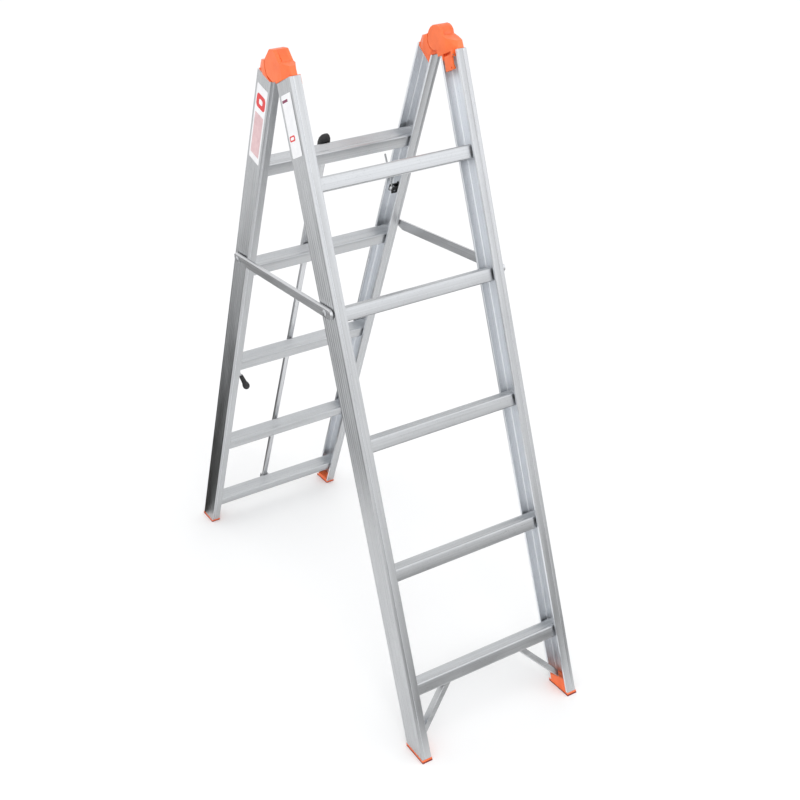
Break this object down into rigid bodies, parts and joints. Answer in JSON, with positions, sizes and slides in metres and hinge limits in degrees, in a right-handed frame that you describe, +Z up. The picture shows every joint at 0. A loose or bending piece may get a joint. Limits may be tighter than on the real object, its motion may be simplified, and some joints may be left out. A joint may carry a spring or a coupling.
{
  "type": "multi position ladder",
  "caption": "Folding aluminium A-frame ladder: two rung sections hinged at the top, side spreader stays, corner braces, orange hinge caps and feet, and a rubber-tipped prop bar.",
  "frame": {"origin": "on the floor, midway between the four feet", "axes": "+Z up, X along the rungs, the front section towards -Y and the rear section towards +Y"},
  "size_m": [0.4822, 1.2788, 1.5483],
  "materials": {
    "aluminium": "mill-finish extrusion, satin",
    "orange_plastic": "moulded, light satin",
    "black_rubber": "matt",
    "sole_rubber": "matt dark red",
    "zinc_steel": "zinc plated",
    "label_film": "plain printed film on the left stiles, added in the visual model"
  },
  "bodies": {
    "front_section": {"brace_left": "aluminium", "brace_right": "aluminium", "front_cap_left": "orange_plastic", "front_cap_right": "orange_plastic", "front_foot_left": "orange_plastic", "front_foot_right": "orange_plastic", "front_rung_1": "aluminium", "front_rung_2": "aluminium", "front_rung_3": "aluminium", "front_rung_4": "aluminium", "front_rung_5": "aluminium", "front_sole_left": "sole_rubber", "front_sole_right": "sole_rubber", "front_stile_left": "aluminium", "front_stile_left_inner_flange": "aluminium", "front_stile_left_outer_flange": "aluminium", "front_stile_right": "aluminium", "front_stile_right_inner_flange": "aluminium", "front_stile_right_outer_flange": "aluminium", "hinge_pin_left": "zinc_steel", "hinge_pin_right": "zinc_steel", "latch_left_pin": "zinc_steel", "latch_right_pin": "zinc_steel", "stay_rivet_left": "zinc_steel", "stay_rivet_right": "zinc_steel"},
    "rear_section": {"lever_lug": "zinc_steel", "lever_pin": "zinc_steel", "prop_bracket": "zinc_steel", "prop_clip": "orange_plastic", "prop_pin": "zinc_steel", "rear_cap_left": "orange_plastic", "rear_cap_right": "orange_plastic", "rear_foot_left": "orange_plastic", "rear_foot_right": "orange_plastic", "rear_rung_1": "aluminium", "rear_rung_2": "aluminium", "rear_rung_3": "aluminium", "rear_rung_4": "aluminium", "rear_rung_5": "aluminium", "rear_sole_left": "sole_rubber", "rear_sole_right": "sole_rubber", "rear_stile_left": "aluminium", "rear_stile_left_inner_flange": "aluminium", "rear_stile_left_outer_flange": "aluminium", "rear_stile_right": "aluminium", "rear_stile_right_inner_flange": "aluminium", "rear_stile_right_outer_flange": "aluminium", "rod_boss": "black_rubber", "rod_pin": "zinc_steel", "stay_stud_left": "zinc_steel", "stay_stud_right": "zinc_steel"},
    "stay_left": {"stay_left": "aluminium"},
    "stay_right": {"stay_right": "aluminium"},
    "latch_left": {"latch_left": "orange_plastic"},
    "latch_right": {"latch_right": "orange_plastic"},
    "prop": {"prop_bar": "aluminium", "prop_cap": "black_rubber"},
    "lever": {"lever_rod": "zinc_steel", "lever_grip": "black_rubber"},
    "lock_rod": {"lock_rod": "zinc_steel"}
  },
  "joints": [
    {"name": "main_hinge", "type": "hinge", "parent": "front_section", "child": "rear_section", "pos_m": [0, 0, 1.5164], "axis": [1, 0, 0], "range_deg": [-41, 138.4]},
    {"name": "stay_left_pivot", "type": "hinge", "parent": "front_section", "child": "stay_left", "pos_m": [-0.2347, -0.21567, 1.033], "axis": [1, 0, 0], "range_deg": [0, 69]},
    {"name": "stay_right_pivot", "type": "hinge", "parent": "front_section", "child": "stay_right", "pos_m": [0.2347, -0.21567, 1.033], "axis": [1, 0, 0], "range_deg": [0, 69]},
    {"name": "latch_left_pivot", "type": "hinge", "parent": "front_section", "child": "latch_left", "pos_m": [-0.1945, -0.0487, 1.48079], "axis": [0, 0.9357, -0.3528], "range_deg": [0, 14], "stiffness_Nm_per_rad": 0.25, "springref_deg": -8.59},
    {"name": "latch_right_pivot", "type": "hinge", "parent": "front_section", "child": "latch_right", "pos_m": [0.1945, -0.0487, 1.48079], "axis": [0, -0.9357, 0.3528], "range_deg": [0, 14], "stiffness_Nm_per_rad": 0.25, "springref_deg": -8.59},
    {"name": "prop_pivot", "type": "hinge", "parent": "rear_section", "child": "prop", "pos_m": [-0.0175, 0.60135, 0.09763], "axis": [-1, 0, 0], "range_deg": [0, 100]},
    {"name": "lever_pivot", "type": "hinge", "parent": "rear_section", "child": "lever", "pos_m": [-0.1965, 0.36036, 0.64928], "axis": [0, 0.9357, 0.3528], "range_deg": [-20, 30]},
    {"name": "rod_pivot", "type": "hinge", "parent": "rear_section", "child": "lock_rod", "pos_m": [0.205, 0.17743, 1.13444], "axis": [0, 0.9357, 0.3528], "range_deg": [-30, 15]}
  ]
}
